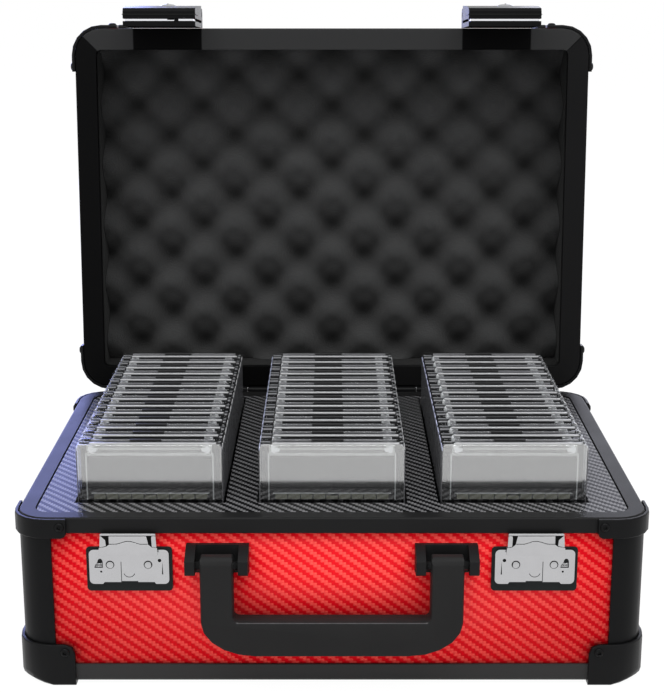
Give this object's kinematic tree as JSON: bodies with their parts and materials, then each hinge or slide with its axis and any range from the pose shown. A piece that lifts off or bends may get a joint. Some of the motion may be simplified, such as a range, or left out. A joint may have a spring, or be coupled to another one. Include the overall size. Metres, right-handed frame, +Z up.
{
  "type": "graded card storage case",
  "caption": "Open latched carrying case with framed twill panels, rows of clear card holders in a foam insert, egg-crate lid foam, locking hasps and a swinging handle.",
  "frame": {"origin": "centre of the open case's box, on the floor under it", "axes": "+X to the right seen from the front, -Y towards the viewer at the side with the handle, +Z up"},
  "size_m": [0.3546, 0.3531, 0.3672],
  "materials": {
    "black_metal": "satin",
    "black_steel": "satin",
    "black_plastic": "satin",
    "red_panel": "satin",
    "deck": "satin",
    "foam": "matte",
    "clear_holder": "gloss",
    "bright_plate": "satin"
  },
  "bodies": {
    "base": {"base_frame": "black_metal", "base_rim": "black_metal", "hinge_base_leaf_left": "black_steel", "hinge_base_leaf_right": "black_steel", "base_rim_cap_front_left": "black_plastic", "base_rim_cap_front_right": "black_plastic", "base_rim_cap_back_left": "black_plastic", "base_rim_cap_back_right": "black_plastic", "base_foot_cap_front_left": "black_plastic", "base_foot_cap_front_right": "black_plastic", "base_foot_cap_back_left": "black_plastic", "base_foot_cap_back_right": "black_plastic", "catch_backplate_left": "black_plastic", "catch_backplate_right": "black_plastic", "handle_mounting_left": "black_plastic", "handle_mounting_right": "black_plastic", "base_front_panel": "red_panel", "base_back_panel": "red_panel", "base_left_panel": "red_panel", "base_right_panel": "red_panel", "base_bottom_panel": "red_panel", "deck_board": "deck", "foam_insert": "foam", "catch_plate_left": "bright_plate", "catch_plate_right": "bright_plate", "hinge_pin_left": "bright_plate", "hinge_pin_right": "bright_plate", "handle_pin_left": "bright_plate", "handle_pin_right": "bright_plate"},
    "lid": {"lid_frame": "black_metal", "lid_rim": "black_metal", "hinge_lid_leaf_left": "black_steel", "hinge_lid_leaf_right": "black_steel", "latch_bracket_left": "black_steel", "latch_bracket_right": "black_steel", "lid_rim_cap_front_left": "black_plastic", "lid_rim_cap_front_right": "black_plastic", "lid_rim_cap_back_left": "black_plastic", "lid_rim_cap_back_right": "black_plastic", "lid_top_cap_front_left": "black_plastic", "lid_top_cap_front_right": "black_plastic", "lid_top_cap_back_left": "black_plastic", "lid_top_cap_back_right": "black_plastic", "lid_front_panel": "red_panel", "lid_back_panel": "red_panel", "lid_left_panel": "red_panel", "lid_right_panel": "red_panel", "lid_top_panel": "red_panel", "lid_liner": "foam", "lid_egg_crate_foam": "foam"},
    "handle": {"handle": "black_plastic"},
    "hasp_left": {"latch_cover_left": "black_plastic", "hasp_plate_left": "black_steel"},
    "hasp_right": {"latch_cover_right": "black_plastic", "hasp_plate_right": "black_steel"},
    "lock_left": {"lock_cylinder_left": "bright_plate"},
    "lock_right": {"lock_cylinder_right": "bright_plate"},
    "row_1": {"holder_row_1": "clear_holder"},
    "row_2": {"holder_row_2": "clear_holder"},
    "row_3": {"holder_row_3": "clear_holder"}
  },
  "joints": [
    {"name": "lid_hinge", "type": "hinge", "parent": "base", "child": "lid", "pos_m": [0, 0.08932, 0.1002], "axis": [-1, 0, 0], "range_deg": [-94.15, 0]},
    {"name": "handle_swing", "type": "hinge", "parent": "base", "child": "handle", "pos_m": [0, -0.17128, 0.0761], "axis": [-1, 0, 0], "range_deg": [0, 90]},
    {"name": "hasp_swing_left", "type": "hinge", "parent": "lid", "child": "hasp_left", "pos_m": [-0.112, 0.1129, 0.35877], "axis": [-1, 0, 0], "range_deg": [0, 100]},
    {"name": "hasp_swing_right", "type": "hinge", "parent": "lid", "child": "hasp_right", "pos_m": [0.112, 0.1129, 0.35877], "axis": [-1, 0, 0], "range_deg": [0, 100]},
    {"name": "lock_turn_left", "type": "hinge", "parent": "hasp_left", "child": "lock_left", "pos_m": [-0.112, 0.08907, 0.35649], "axis": [0, 0.0724, 0.9974], "range_deg": [0, 90]},
    {"name": "lock_turn_right", "type": "hinge", "parent": "hasp_right", "child": "lock_right", "pos_m": [0.112, 0.08907, 0.35649], "axis": [0, 0.0724, 0.9974], "range_deg": [0, 90]},
    {"name": "row_lift_1", "type": "slide", "parent": "base", "child": "row_1", "axis": [0, 0, 1], "range_m": [0, 0.1]},
    {"name": "row_lift_2", "type": "slide", "parent": "base", "child": "row_2", "axis": [0, 0, 1], "range_m": [0, 0.1]},
    {"name": "row_lift_3", "type": "slide", "parent": "base", "child": "row_3", "axis": [0, 0, 1], "range_m": [0, 0.1]}
  ]
}
